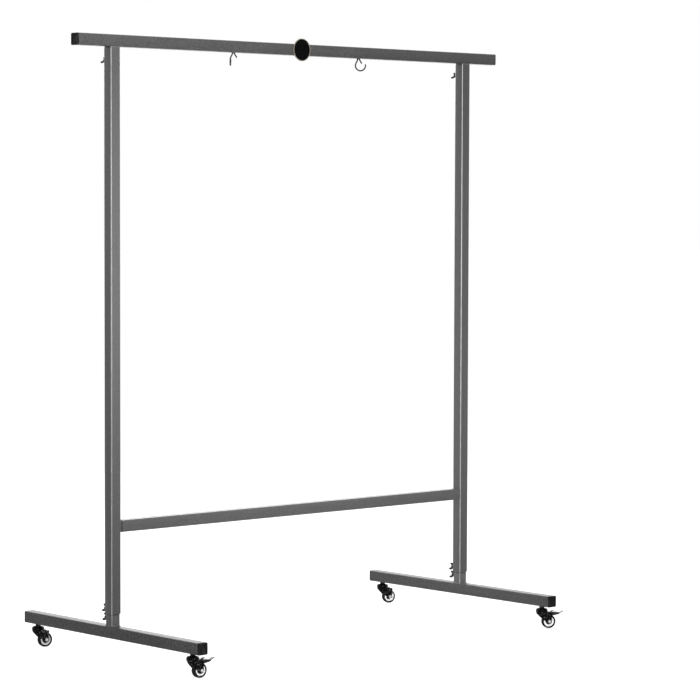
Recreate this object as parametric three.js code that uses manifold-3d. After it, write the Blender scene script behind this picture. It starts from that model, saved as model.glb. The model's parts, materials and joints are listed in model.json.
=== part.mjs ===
// Gong stand on casters: two square-tube posts on long feet carry a crossbar with two wire hooks.
// Millimetres, +Z up. The origin is on the floor at the middle of the stand. X runs along the
// crossbars, Y runs along the feet, and the front of the stand is at negative Y.
import * as THREE from "three";
import { mergeVertices, toCreasedNormals } from "three/addons/utils/BufferGeometryUtils.js";
import Module from "manifold-3d";

// Main frame
const frameTube = 40;
const frameWall = 2;
const frameCorner = 3;
const postSpacing = 1626;
const crossbarLength = 1934;
const footLength = 953;
const crossbarAboveFoot = 1970;
const lowerCrossbarAboveFoot = 355;
const lowerCrossbarEndGap = 6;

// Tubes that slide or plug into the frame
const slidingClearance = 0.5;
const seatGap = 0.3;
const innerWall = 2;
const innerCorner = 2.5;
const legShown = 42;
const legInPost = 300;
const topSpigotLength = 100;
const footSpigotLength = 90;
const stubLength = 60;
const stubWall = 2;

// End caps
const capFlange = 3;
const capEdge = 0.8;
const capWall = 1.6;
const capPlug = 14;
const capClearance = 0.3;

// Wing bolts and the nuts welded on for them
const boltRadius = 4;
const boltHoleRadius = 4.45;
const nutFlats = 13;
const nutHeight = 8;
const weldSink = 0.5;
const topBoltDrop = 42;
const postBoltRise = 15.5;
const legBoltDrop = 14.5;
const threadShown = 6;
const boltHubRadius = 6;
const boltHubCrown = 4.6;
const boltHubHeight = 9;
const wingSpan = 27;
const wingRise = 11;
const wingLobe = 4;
const wingFoot = 2;
const wingThickness = 3.2;
const topWingAngle = -52;
const lowWingAngle = -70;

// Hooks
const hookSpacing = 582;
const hookHeading = -35;
const wireRadius = 2.5;
const wireHoleRadius = 2.9;
const wireHoleSpacing = 9;
const hookBendDrop = 0.4;
const hookNeck = 3;
const hookRingRadius = 18;
const hookRingDrop = 24.6;
const hookRingShift = 7.7;
const hookTipAngle = 11;
const hookEndReach = 7;
const hookEndDrop = 12.5;

// How far each hook's ring is turned out of the plane of its wire, in degrees
const hookRingTurns = { left: 83, right: 0 };

// Badge
const badgeRadius = 41;
const badgeThickness = 3;
const badgeRim = 6;
const badgeFaceSink = 1;
const badgeOffset = 4;

// Caster wheel
const wheelRadius = 25;
const wheelWidth = 18;
const treadDepth = 6.3;
const treadShoulder = 1.8;
const ringInset = 1;
const ringWidth = 6;
const hubInset = 3;
const bossRadius = 6.5;
const axleRadius = 3;
const axleClearance = 0.35;
const axleNutFlats = 10;
const axleNutHeight = 3.6;
const axleEnd = 1.2;

// Caster fork, head and stem
const casterInset = 52.5;
const wheelTrail = 25;
const wheelSideGap = 3;
const forkSheet = 2.2;
const forkDiscRadius = 21.5;
const forkDiscThickness = 3;
const wheelToDisc = 8;
const noseReach = 21.2;
const forkStraight = 20;
const cheekEndRadius = 9;
const cheekWaist = 8.6;
const cheekBack = 11;
const ballRadius = 2;
const ballCircleRadius = 14.5;
const cupSheet = 1.9;
const cupSkirt = 2.9;
const cupSkirtGap = 1;
const cupBand = 4.5;
const cupRimHeight = 4.5;
const cupRimWidth = 3.5;
const stemRadius = 5;
const stemHoleRadius = 5.4;
const stemRise = 18;
const stemHeadRadius = 9;
const stemHeadHeight = 3;
const hexFlats = 17;
const hexLength = 13.9;
const stemNutHeight = 8;

// Brake lever of the front casters, measured from its pivot
const pivotBack = 5.6;
const pivotBelowDisc = 7;
const pivotRadius = 2.2;
const pivotHoleRadius = 2.65;
const leverSideGap = 0.5;
const leverSheet = 1.6;
const leverEye = 5.2;
const leverLength = 34.6;
const leverHeight = 7.4;
const leverWebStart = 4.2;
const leverTipSink = 2;
const leverLowerEdge = 6;
const leverTabLength = 17;
const leverTabWidth = 14;
const leverTabDip = 4;
const leverLipRise = 3.6;
const leverLipLength = 11;
const leverLipWidth = 12;
const shoeStart = 7.8;
const shoeDrop = 4.2;

// How far the released lever stands above its pressed place, in degrees
const leverRaised = 12;

// Which way each caster trails, in degrees from the direction of the crossbars
const casterHeadings = { front_left: -5, back_left: -12, front_right: -30, back_right: -20 };

// Number of flat sides on round things, and what every cut runs past its wall
const roundSides = 18;
const smallSides = 12;
const cornerSides = 1;
const arcSides = 3;
const noseSides = 5;
const wingSides = 2;
const ballSides = 4;
const wireSides = 8;
const hookSteps = 32;
const badgeSides = 28;
const cutOverrun = 1;

// Sizes that follow from those above
const legTube = frameTube - 2 * (frameWall + slidingClearance);
const footSpigotTube = legTube - 2 * (innerWall + slidingClearance);
const forkInside = wheelWidth + 2 * wheelSideGap;
const discUnderside = 2 * wheelRadius + wheelToDisc;
const discTop = discUnderside + forkDiscThickness;
const ballCentre = discTop + seatGap + ballRadius;
const cupCeiling = ballCentre + ballRadius + seatGap;
const cupFloor = cupCeiling + cupSheet;
const hexBottom = cupFloor + seatGap;
const footUnderside = hexBottom + hexLength + seatGap;
const footTop = footUnderside + frameTube;
const postBottom = footTop + legShown;
const crossbarTop = footTop + crossbarAboveFoot;
const crossbarUnderside = crossbarTop - frameTube;
const postLength = crossbarUnderside - postBottom;
const lowerCrossbarLength = postSpacing - frameTube - lowerCrossbarEndGap;
const lowerCrossbarMiddle = footTop + lowerCrossbarAboveFoot - frameTube / 2;
const stubMiddle = (postSpacing - frameTube - stubLength) / 2;
const wingRadius = wingSpan / 2;
const pivotX = wheelTrail + pivotBack;
const pivotZ = discUnderside - pivotBelowDisc;
const leverWidth = forkInside - 2 * leverSideGap;

const steelFinish = { color: 0x5b5b5d, roughness: 0.45, metalness: 0.35 };
const blackFinish = { color: 0x141414, roughness: 0.5, metalness: 0 };
const boltFinish = { color: 0x181818, roughness: 0.4, metalness: 0.3 };
const zincFinish = { color: 0xb9bec4, roughness: 0.3, metalness: 0.9 };
const cupFinish = { color: 0x4a4c4e, roughness: 0.35, metalness: 0.7 };
const hubFinish = { color: 0x6d6e72, roughness: 0.6, metalness: 0 };
const treadFinish = { color: 0x1a1a1c, roughness: 0.8, metalness: 0 };
const badgeFinish = { color: 0x0e0e0e, roughness: 0.3, metalness: 0.2 };

const wasm = await Module();
wasm.setup();

// A closed geometry as a solid that can be joined and cut
function solidOf(geometry) {
  const bare = geometry.clone();
  bare.deleteAttribute("normal");
  bare.deleteAttribute("uv");
  const merged = mergeVertices(bare);
  return new wasm.Manifold(
    new wasm.Mesh({
      numProp: 3,
      vertProperties: merged.attributes.position.array,
      triVerts: new Uint32Array(merged.index.array),
    }),
  );
}

// A joined or cut solid as a geometry with smooth round faces and crisp edges
function geometryOf(solid) {
  const mesh = solid.getMesh();
  const geometry = new THREE.BufferGeometry();
  geometry.setAttribute("position", new THREE.BufferAttribute(mesh.vertProperties, 3));
  geometry.setIndex(new THREE.BufferAttribute(mesh.triVerts, 1));
  return toCreasedNormals(geometry, Math.PI / 6);
}

function join(...geometries) {
  return geometries.map(solidOf).reduce((whole, piece) => whole.add(piece));
}

function cut(solid, ...cutters) {
  return cutters.map(solidOf).reduce((whole, cutter) => whole.subtract(cutter), solid);
}

// Turns a geometry built along Z so that it lies along another axis
function lay(geometry, axis) {
  if (axis === "x") geometry.rotateY(Math.PI / 2);
  if (axis === "y") geometry.rotateX(-Math.PI / 2);
  return geometry;
}

function roundedSquare(side, radius, Outline) {
  const half = side / 2 - radius;
  const outline = new Outline();
  outline.absarc(half, half, radius, 0, Math.PI / 2);
  outline.absarc(-half, half, radius, Math.PI / 2, Math.PI);
  outline.absarc(-half, -half, radius, Math.PI, 1.5 * Math.PI);
  outline.absarc(half, -half, radius, 1.5 * Math.PI, 2 * Math.PI);
  outline.closePath();
  return outline;
}

// A square tube with rounded corners, centred on the origin and lying along an axis
function squareTube(side, wall, corner, length, axis) {
  const outline = roundedSquare(side, corner, THREE.Shape);
  outline.holes.push(roundedSquare(side - 2 * wall, wall / 2, THREE.Path));
  const tube = new THREE.ExtrudeGeometry(outline, {
    depth: length,
    bevelEnabled: false,
    curveSegments: cornerSides,
  });
  return lay(tube.translate(0, 0, -length / 2), axis);
}

// A round or six-sided bar along an axis, from one place on that axis to another
function bar(radius, from, to, axis, sides = smallSides) {
  const geometry = new THREE.CylinderGeometry(radius, radius, to - from, sides);
  geometry.rotateX(Math.PI / 2).translate(0, 0, (from + to) / 2);
  return lay(geometry, axis);
}

function hexBar(flats, from, to, axis) {
  return bar(flats / (2 * Math.cos(Math.PI / 6)), from, to, axis, 6);
}

// A profile of [radius, height] turned about Y, or about Z, with a flat side facing down
function turned(profile, axis, sides = roundSides) {
  const points = profile.map(([radius, height]) => new THREE.Vector2(radius, height));
  if (THREE.ShapeUtils.area(points) < 0) points.reverse();
  if (points.every((point) => point.x > 0)) points.push(points[0]);
  const geometry = new THREE.LatheGeometry(points, sides, Math.PI / sides);
  return axis === "z" ? geometry.rotateX(Math.PI / 2) : geometry;
}

// An outline drawn in X and Z, made into a plate of a given width across Y
function uprightPlate(outline, width) {
  const plate = new THREE.ExtrudeGeometry(outline, {
    depth: width,
    bevelEnabled: false,
    curveSegments: arcSides,
  });
  return plate.translate(0, 0, -width / 2).rotateX(Math.PI / 2);
}

function polygon(points) {
  return new THREE.Shape(points.map(([x, y]) => new THREE.Vector2(x, y)));
}

function add(parent, name, shape, finish) {
  const geometry = shape.isBufferGeometry ? shape : geometryOf(shape);
  const mesh = new THREE.Mesh(geometry, new THREE.MeshStandardMaterial(finish));
  mesh.name = name;
  parent.add(mesh);
  return mesh;
}

// Tubes

// Places of the two wire holes of a hook, from the middle of the hook
function wireHolePlaces() {
  const heading = THREE.MathUtils.degToRad(hookHeading);
  return [-0.5, 0.5].map((share) => [
    share * wireHoleSpacing * Math.cos(heading),
    share * wireHoleSpacing * Math.sin(heading),
  ]);
}

// The top crossbar, with two wire holes in its underside for each hook
function topCrossbar() {
  const length = crossbarLength - 2 * capFlange;
  let solid = solidOf(squareTube(frameTube, frameWall, frameCorner, length, "x"));
  const below = -frameTube / 2 - cutOverrun;
  const above = -frameTube / 2 + frameWall + cutOverrun;
  for (const side of [-1, 1]) {
    for (const [x, y] of wireHolePlaces()) {
      const hole = bar(wireHoleRadius, below, above, "z");
      solid = cut(solid, hole.translate((side * hookSpacing) / 2 + x, y, 0));
    }
  }
  return solid;
}

// An upright tube that stands on z = 0, with a nut welded to its back at each given height
function tubeWithNuts(side, wall, corner, length, heights) {
  const tube = squareTube(side, wall, corner, length, "z").translate(0, 0, length / 2);
  let solid = solidOf(tube);
  const face = side / 2;
  for (const height of heights) {
    const nut = hexBar(nutFlats, face - weldSink, face + nutHeight, "y");
    const hole = bar(boltHoleRadius, face - wall - cutOverrun, face + nutHeight + cutOverrun, "y");
    solid = solid.add(solidOf(nut.translate(0, 0, height)));
    solid = cut(solid, hole.translate(0, 0, height));
  }
  return solid;
}

// A foot bar, with a nut welded inside its underside for each caster stem
function footBar() {
  const length = footLength - 2 * capFlange;
  let solid = solidOf(squareTube(frameTube, frameWall, frameCorner, length, "y"));
  const wallTop = -frameTube / 2 + frameWall;
  for (const end of [-1, 1]) {
    const y = end * (footLength / 2 - casterInset);
    const nut = hexBar(hexFlats, wallTop - weldSink, wallTop + stemNutHeight, "z");
    const top = wallTop + stemNutHeight + cutOverrun;
    const hole = bar(stemHoleRadius, -frameTube / 2 - cutOverrun, top, "z");
    solid = cut(solid.add(solidOf(nut.translate(0, y, 0))), hole.translate(0, y, 0));
  }
  return solid;
}

// A plastic end cap: its flange covers the tube's end and its hollow plug goes into the tube
function endCap(axis, end) {
  const flange = new THREE.ExtrudeGeometry(roundedSquare(frameTube, frameCorner, THREE.Shape), {
    depth: capFlange - 2 * capEdge,
    bevelThickness: capEdge,
    bevelSize: capEdge,
    bevelOffset: -capEdge,
    bevelSegments: 1,
    curveSegments: cornerSides,
  });
  flange.translate(0, 0, capEdge);
  const plugSide = frameTube - 2 * (frameWall + capClearance);
  const plug = squareTube(plugSide, capWall, capWall, capPlug + capEdge, "z");
  plug.translate(0, 0, (capEdge - capPlug) / 2);
  const cap = geometryOf(join(flange, plug));
  if (end < 0) cap.rotateX(Math.PI);
  return lay(cap, axis);
}

// Hooks and badge

// The hook's wire: up through one hole, over the web between the holes, down through the other
// and round the open ring. X is along the line of the holes and Z = 0 is the crossbar's underside.
// From its lowest straight place on, the ring is turned about the upright line through that place.
function hook(ringTurn) {
  const half = wireHoleSpacing / 2;
  const bendHeight = frameWall - hookBendDrop;
  const ringStart = THREE.MathUtils.degToRad(165);
  const ringEnd = THREE.MathUtils.degToRad(360 + hookTipAngle);
  const startX = hookRingShift + hookRingRadius * Math.cos(ringStart);
  const startZ = hookRingRadius * Math.sin(ringStart) - hookRingDrop;
  const lead = hookNeck * 2;
  const line = new THREE.Path();
  line.moveTo(half + hookEndReach, -hookEndDrop - hookNeck);
  line.quadraticCurveTo(half, -hookNeck - lead / 2, half, -hookNeck);
  line.lineTo(half, bendHeight);
  line.absarc(0, bendHeight, half, 0, Math.PI);
  line.lineTo(-half, -hookNeck);
  line.bezierCurveTo(
    -half,
    -hookNeck - lead,
    startX + lead * Math.sin(ringStart) * (1 - Math.sin(ringStart)),
    startZ + lead,
    startX,
    startZ,
  );
  line.absarc(hookRingShift, -hookRingDrop, hookRingRadius, ringStart, ringEnd);
  const flatPoints = line.getSpacedPoints(hookSteps);
  const turnStart = flatPoints.findIndex((point) => point.y < -hookRingDrop);
  const pivot = hookRingShift - hookRingRadius;
  const turn = THREE.MathUtils.degToRad(ringTurn);
  const points = flatPoints.map(({ x, y }, i) => {
    const reach = i < turnStart ? 0 : x - pivot;
    const alongX = i < turnStart ? x : pivot + reach * Math.cos(turn);
    return new THREE.Vector3(alongX, reach * Math.sin(turn), y);
  });
  const route = new THREE.CatmullRomCurve3(points);
  const section = new THREE.Shape().absarc(0, 0, wireRadius, 0, 2 * Math.PI);
  return new THREE.ExtrudeGeometry(section, {
    steps: hookSteps,
    extrudePath: route,
    curveSegments: wireSides / 2,
  });
}

// A plain round badge whose back lies on y = 0 and whose face looks to the front
function badge() {
  const rimInside = badgeRadius - badgeRim;
  const profile = [
    [0, 0],
    [badgeRadius, 0],
    [badgeRadius, -badgeThickness + badgeFaceSink / 2],
    [badgeRadius - badgeFaceSink / 2, -badgeThickness],
    [rimInside + badgeFaceSink, -badgeThickness],
    [rimInside, -badgeThickness + badgeFaceSink],
    [0, -badgeThickness + badgeFaceSink],
  ];
  return turned(profile, "y", badgeSides);
}

// Wing bolts

// One wing in X and Y, from the middle of the hub out to its round lobe
function wingOutline(hubBottom, hubTop) {
  const lobeX = wingRadius - wingLobe;
  const lobeY = hubTop + wingRise - wingLobe;
  const outline = new THREE.Shape();
  outline.moveTo(0, hubBottom + wingFoot);
  outline.lineTo(boltHubRadius, hubBottom + wingFoot);
  outline.quadraticCurveTo(wingRadius, hubBottom + wingFoot, wingRadius, lobeY);
  outline.absarc(lobeX, lobeY, wingLobe, 0, 0.9 * Math.PI);
  outline.quadraticCurveTo(boltHubCrown, hubTop, 0, hubTop - wingFoot);
  outline.closePath();
  return outline;
}

// A wing bolt along Y, which leaves the face of its tube at y = 0 and is gripped by the nut
function wingBolt() {
  const tip = seatGap - frameWall - slidingClearance;
  const hubBottom = nutHeight + threadShown;
  const hubTop = hubBottom + boltHubHeight;
  const hub = turned(
    [
      [0, hubBottom],
      [boltHubRadius, hubBottom],
      [boltHubRadius, (hubBottom + hubTop) / 2],
      [boltHubCrown, hubTop],
      [0, hubTop],
    ],
    "y",
    smallSides,
  );
  const wing = new THREE.ExtrudeGeometry(wingOutline(hubBottom, hubTop), {
    depth: wingThickness,
    bevelEnabled: false,
    curveSegments: wingSides,
  });
  wing.translate(0, 0, -wingThickness / 2);
  const shank = bar(boltRadius, tip, hubBottom + wingFoot, "y");
  return join(shank, hub, wing, wing.clone().rotateY(Math.PI));
}

// Caster, in a frame with the swivel axis at x = 0, the floor at z = 0 and the wheel towards +X

// The stem: a riveted head under the fork, the hexagon that seats on the cup, and the thread
function casterStem() {
  const headTop = discUnderside - seatGap;
  const head = bar(stemHeadRadius, headTop - stemHeadHeight, headTop, "z");
  const shaft = bar(stemRadius, headTop - stemHeadHeight / 2, footUnderside + stemRise, "z");
  const hexagon = hexBar(hexFlats, hexBottom, hexBottom + hexLength, "z");
  return join(head, shaft, hexagon);
}

// The pressed cup on top of the swivel, hollow below for the balls and dished above
function casterCup() {
  const skirtBottom = discTop + cupSkirtGap;
  const skirtInside = forkDiscRadius - cupSkirt;
  const bandTop = skirtBottom + cupBand;
  const rimTop = cupFloor + cupRimHeight;
  const profile = [
    [stemHoleRadius, cupCeiling],
    [skirtInside, cupCeiling],
    [skirtInside, skirtBottom],
    [forkDiscRadius, skirtBottom],
    [forkDiscRadius, bandTop],
    [forkDiscRadius - cupRimWidth / 2, rimTop - cupSheet / 2],
    [forkDiscRadius - cupRimWidth, rimTop],
    [forkDiscRadius - 1.5 * cupRimWidth, rimTop - cupSheet / 2],
    [forkDiscRadius - 2 * cupRimWidth, cupFloor],
    [stemHoleRadius, cupFloor],
  ];
  return turned(profile, "z");
}

// The ring of balls between fork and cup
function ballRing() {
  const profile = [];
  for (let i = 0; i < ballSides; i++) {
    const angle = (2 * Math.PI * i) / ballSides;
    const r = ballCircleRadius + ballRadius * Math.cos(angle);
    profile.push([r, ballCentre + ballRadius * Math.sin(angle)]);
  }
  return turned(profile, "z", smallSides);
}

// The fork's wall seen from above: a long rounded nose with two straight cheeks
function forkPlan() {
  const outside = forkInside / 2 + forkSheet;
  const inside = forkInside / 2;
  const back = wheelTrail + cheekBack + cutOverrun;
  const nose = forkStraight + noseReach;
  const outline = new THREE.Shape();
  outline.moveTo(back, -outside);
  outline.absellipse(forkStraight, 0, nose, outside, -Math.PI / 2, -1.5 * Math.PI, true);
  outline.lineTo(back, outside);
  outline.lineTo(back, inside);
  outline.absellipse(forkStraight, 0, nose - forkSheet, inside, Math.PI / 2, 1.5 * Math.PI);
  outline.lineTo(back, -inside);
  outline.closePath();
  return outline;
}

// The fork's cheek seen from the side: slanted in front, round at the axle, waisted behind
function cheekOutline() {
  const top = discUnderside + forkDiscThickness / 2;
  const fromX = -noseReach - cutOverrun;
  const fromZ = discUnderside - cutOverrun;
  const toAxle = Math.atan2(wheelRadius - fromZ, wheelTrail - fromX);
  const distance = Math.hypot(wheelTrail - fromX, wheelRadius - fromZ);
  const start = toAxle - Math.asin(cheekEndRadius / distance) - Math.PI / 2;
  const waistX = wheelTrail + cheekWaist;
  const backX = wheelTrail + cheekBack;
  const waistZ = (wheelRadius + pivotZ) / 2;
  const outline = new THREE.Shape();
  outline.moveTo(fromX, top);
  outline.lineTo(fromX, fromZ);
  outline.absarc(wheelTrail, wheelRadius, cheekEndRadius, start, 0);
  outline.quadraticCurveTo(waistX, waistZ - cutOverrun, waistX, waistZ);
  outline.quadraticCurveTo(waistX, pivotZ - pivotBelowDisc, backX, pivotZ - pivotRadius);
  outline.lineTo(backX, discUnderside - cutOverrun);
  outline.lineTo(forkDiscRadius, top);
  outline.closePath();
  return outline;
}

// The pressed fork, with rivets for the lever's pivot where the caster has a brake
function fork(braked) {
  const wall = new THREE.ExtrudeGeometry(forkPlan(), {
    depth: discTop,
    bevelEnabled: false,
    curveSegments: noseSides,
  });
  const across = forkInside + 2 * forkSheet;
  const cheeks = solidOf(wall).intersect(solidOf(uprightPlate(cheekOutline(), 2 * across)));
  const discEdge = forkDiscThickness / 3;
  const disc = turned(
    [
      [stemHoleRadius, discUnderside],
      [forkDiscRadius, discUnderside],
      [forkDiscRadius, discTop - discEdge],
      [forkDiscRadius - discEdge, discTop],
      [stemHoleRadius, discTop],
    ],
    "z",
  );
  const axleHole = bar(axleRadius + seatGap, -across, across, "y");
  let solid = cut(cheeks.add(solidOf(disc)), axleHole.translate(wheelTrail, 0, wheelRadius));
  if (braked) {
    for (const side of [-1, 1]) {
      const inner = (side * leverWidth) / 2 - side * leverSheet;
      const outer = side * (across / 2 + leverSheet / 2);
      const rivet = bar(pivotRadius, Math.min(inner, outer), Math.max(inner, outer), "y");
      solid = solid.add(solidOf(rivet.translate(pivotX, 0, pivotZ)));
    }
  }
  return solid;
}

// The axle: a bolt through both cheeks with a nut outside each
function axle() {
  const cheek = forkInside / 2 + forkSheet + seatGap;
  const end = cheek + axleNutHeight + axleEnd;
  const pin = bar(axleRadius, -end, end, "y");
  const nuts = [-1, 1].map((side) => {
    const from = side < 0 ? -cheek - axleNutHeight : cheek;
    return hexBar(axleNutFlats, from, from + axleNutHeight, "y");
  });
  return join(pin, ...nuts);
}

// The wheel's plastic centre: boss on the axle, recessed web and a raised ring under the tread
function wheelHub() {
  const bore = axleRadius + axleClearance;
  const boss = forkInside / 2 - seatGap;
  const rim = wheelRadius - treadDepth - seatGap;
  const face = wheelWidth / 2 - ringInset;
  const web = wheelWidth / 2 - hubInset;
  const half = [
    [bore, boss],
    [bossRadius, boss],
    [bossRadius, web],
    [rim - ringWidth, web],
    [rim - ringWidth, face],
    [rim, face],
  ];
  const mirrored = half.map(([radius, y]) => [radius, -y]).reverse();
  return turned([...half, ...mirrored], "y");
}

// The rubber tread. Its flats touch the true wheel circle, so that one of them lies on the floor.
function tread() {
  const inside = wheelRadius - treadDepth;
  const outside = wheelRadius / Math.cos(Math.PI / roundSides);
  const side = wheelWidth / 2;
  const profile = [
    [inside, -side + ringInset / 2],
    [outside - treadShoulder, -side],
    [outside, -side + treadShoulder],
    [outside, side - treadShoulder],
    [outside - treadShoulder, side],
    [inside, side - ringInset / 2],
  ];
  return turned(profile, "y");
}

// The lever's side seen along its pivot, with the pivot at the origin
function leverOutline() {
  const outline = new THREE.Shape();
  outline.moveTo(leverWebStart, leverHeight);
  outline.quadraticCurveTo(leverLength / 2, leverHeight - leverSheet, leverLength, -leverTipSink);
  outline.lineTo(leverLength - leverSheet * 2, -leverLowerEdge);
  outline.lineTo(0, -leverEye);
  outline.absarc(0, 0, leverEye, -Math.PI / 2, -1.5 * Math.PI, true);
  outline.closePath();
  return outline;
}

// What is taken out between the lever's flanges: all below its web
function leverHollow() {
  const deep = leverHeight + leverLowerEdge;
  const outline = new THREE.Shape();
  outline.moveTo(leverWebStart, deep);
  outline.lineTo(leverWebStart, leverHeight - leverSheet);
  outline.quadraticCurveTo(
    leverLength / 2,
    leverHeight - 2 * leverSheet,
    leverLength,
    -leverTipSink - leverSheet,
  );
  outline.lineTo(leverLength, -deep);
  outline.lineTo(-deep, -deep);
  outline.lineTo(-deep, deep);
  outline.closePath();
  return outline;
}

// The foot tab at the end of the lever: it dips, then rises to where the foot presses
function tabOutline() {
  const root = leverLength - leverSheet * 2;
  const end = leverLength + leverTabLength;
  const middle = leverLength + leverSheet;
  return polygon([
    [root, -leverSheet / 2],
    [root, -leverTipSink - leverSheet / 2],
    [middle, -leverTabDip],
    [end, -leverSheet / 2],
    [end, leverSheet / 2],
    [middle, leverSheet - leverTabDip],
  ]);
}

// The tongue raised from the lever's web, which lifts the brake again
function lipOutline() {
  const base = leverHeight - leverSheet;
  const top = leverHeight + leverLipRise;
  return polygon([
    [leverWebStart + leverSheet, base],
    [leverWebStart + 2 * leverSheet, base],
    [leverWebStart + 2 * leverSheet, top - leverSheet],
    [leverWebStart + leverSheet + leverLipLength, top - leverSheet / 2],
    [leverWebStart + leverSheet + leverLipLength, top + leverSheet / 2],
    [leverWebStart + leverSheet, top],
  ]);
}

// The shoe inside the lever that comes down on the tread
function shoeOutline() {
  return polygon([
    [shoeStart, -shoeDrop],
    [shoeStart + leverSheet, -shoeDrop],
    [shoeStart + leverSheet, leverHeight - leverSheet],
    [shoeStart, leverHeight - leverSheet],
  ]);
}

function brakeLever() {
  const inside = leverWidth - 2 * leverSheet;
  const body = solidOf(uprightPlate(leverOutline(), leverWidth));
  const pivotHole = bar(pivotHoleRadius, -leverWidth, leverWidth, "y");
  const channel = cut(body, uprightPlate(leverHollow(), inside), pivotHole);
  return channel
    .add(solidOf(uprightPlate(tabOutline(), leverTabWidth)))
    .add(solidOf(uprightPlate(lipOutline(), leverLipWidth)))
    .add(solidOf(uprightPlate(shoeOutline(), leverTabWidth)));
}

// A caster: stem and cup stay with the foot, and everything else turns under them
function caster(place, heading, braked) {
  const group = new THREE.Group();
  add(group, "caster_stem_" + place, casterStem(), zincFinish);
  add(group, "caster_cup_" + place, casterCup(), cupFinish);
  const swivel = new THREE.Group();
  swivel.rotation.z = THREE.MathUtils.degToRad(heading);
  group.add(swivel);
  add(swivel, "caster_balls_" + place, ballRing(), zincFinish);
  add(swivel, "caster_fork_" + place, fork(braked), zincFinish);
  const wheel = new THREE.Group();
  wheel.position.set(wheelTrail, 0, wheelRadius);
  swivel.add(wheel);
  add(wheel, "caster_axle_" + place, axle(), zincFinish);
  add(wheel, "wheel_hub_" + place, wheelHub(), hubFinish);
  add(wheel, "wheel_tread_" + place, tread(), treadFinish);
  if (braked) {
    const lever = add(swivel, "brake_lever_" + place, brakeLever(), zincFinish);
    lever.position.set(pivotX, 0, pivotZ);
    lever.rotation.y = -THREE.MathUtils.degToRad(leverRaised);
  }
  return group;
}

// Assembly

// One long foot with its caps, its spigot and leg, the leg's wing bolt and two casters
function foot(name, x) {
  const group = new THREE.Group();
  group.position.x = x;
  const footBarMesh = add(group, "foot_bar_" + name, footBar(), steelFinish);
  footBarMesh.position.z = footUnderside + frameTube / 2;
  for (const [end, place] of [
    [-1, "front_"],
    [1, "back_"],
  ]) {
    const cap = add(group, "foot_cap_" + place + name, endCap("y", end), blackFinish);
    cap.position.set(0, end * (footLength / 2 - capFlange), footUnderside + frameTube / 2);
    const wheels = caster(place + name, casterHeadings[place + name], end < 0);
    wheels.position.y = end * (footLength / 2 - casterInset);
    group.add(wheels);
  }
  const spigotTube = squareTube(footSpigotTube, innerWall, innerCorner, footSpigotLength, "z");
  const spigot = add(group, "foot_spigot_" + name, spigotTube, steelFinish);
  spigot.position.z = footTop + footSpigotLength / 2;
  const boltHeight = legShown - legBoltDrop;
  const legLength = legShown + legInPost;
  const legSolid = tubeWithNuts(legTube, innerWall, innerCorner, legLength, [boltHeight]);
  add(group, "leg_tube_" + name, legSolid, steelFinish).position.z = footTop;
  const bolt = add(group, "wing_bolt_leg_" + name, wingBolt(), boltFinish);
  bolt.position.set(0, legTube / 2, footTop + boltHeight);
  bolt.rotation.y = THREE.MathUtils.degToRad(lowWingAngle);
  return group;
}

// One post with its two wing bolts and the stub that carries the lower crossbar
function post(name, side) {
  const group = new THREE.Group();
  const x = (side * postSpacing) / 2;
  const heights = [postBoltRise, postLength - topBoltDrop];
  const postSolid = tubeWithNuts(frameTube, frameWall, frameCorner, postLength, heights);
  add(group, "post_" + name, postSolid, steelFinish).position.set(x, 0, postBottom);
  const bolts = [
    ["wing_bolt_post_", lowWingAngle],
    ["wing_bolt_top_", topWingAngle],
  ];
  bolts.forEach(([title, angle], i) => {
    const bolt = add(group, title + name, wingBolt(), boltFinish);
    bolt.position.set(x, frameTube / 2, postBottom + heights[i]);
    bolt.rotation.y = THREE.MathUtils.degToRad(angle);
  });
  const stubTube = squareTube(legTube, stubWall, innerCorner, stubLength, "x");
  const stub = add(group, "crossbar_stub_" + name, stubTube, steelFinish);
  stub.position.set(side * stubMiddle, 0, lowerCrossbarMiddle);
  return group;
}

// The top crossbar with its caps, the spigots that drop into the posts, the hooks and the badge
function topBeam() {
  const group = new THREE.Group();
  const middle = crossbarUnderside + frameTube / 2;
  add(group, "top_crossbar", topCrossbar(), steelFinish).position.z = middle;
  for (const [side, name] of [
    [-1, "left"],
    [1, "right"],
  ]) {
    const cap = add(group, "crossbar_cap_" + name, endCap("x", side), blackFinish);
    cap.position.set(side * (crossbarLength / 2 - capFlange), 0, middle);
    const spigotTube = squareTube(legTube, innerWall, innerCorner, topSpigotLength, "z");
    const spigot = add(group, "top_spigot_" + name, spigotTube, steelFinish);
    spigot.position.set((side * postSpacing) / 2, 0, crossbarUnderside - topSpigotLength / 2);
    const hookMesh = add(group, "gong_hook_" + name, hook(hookRingTurns[name]), zincFinish);
    hookMesh.position.set((side * hookSpacing) / 2, 0, crossbarUnderside);
    hookMesh.rotation.z = THREE.MathUtils.degToRad(hookHeading);
  }
  add(group, "round_badge", badge(), badgeFinish).position.set(badgeOffset, -frameTube / 2, middle);
  return group;
}

const stand = new THREE.Group();
stand.add(foot("left", -postSpacing / 2), foot("right", postSpacing / 2));
stand.add(post("left", -1), post("right", 1));
const lowerTube = squareTube(frameTube, frameWall, frameCorner, lowerCrossbarLength, "x");
const lowerCrossbar = add(stand, "lower_crossbar", lowerTube, steelFinish);
lowerCrossbar.position.set(lowerCrossbarEndGap / 2, 0, lowerCrossbarMiddle);
stand.add(topBeam());

export default stand;
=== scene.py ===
import bpy
import bmesh
import json
import math
from mathutils import Matrix, Vector


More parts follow.
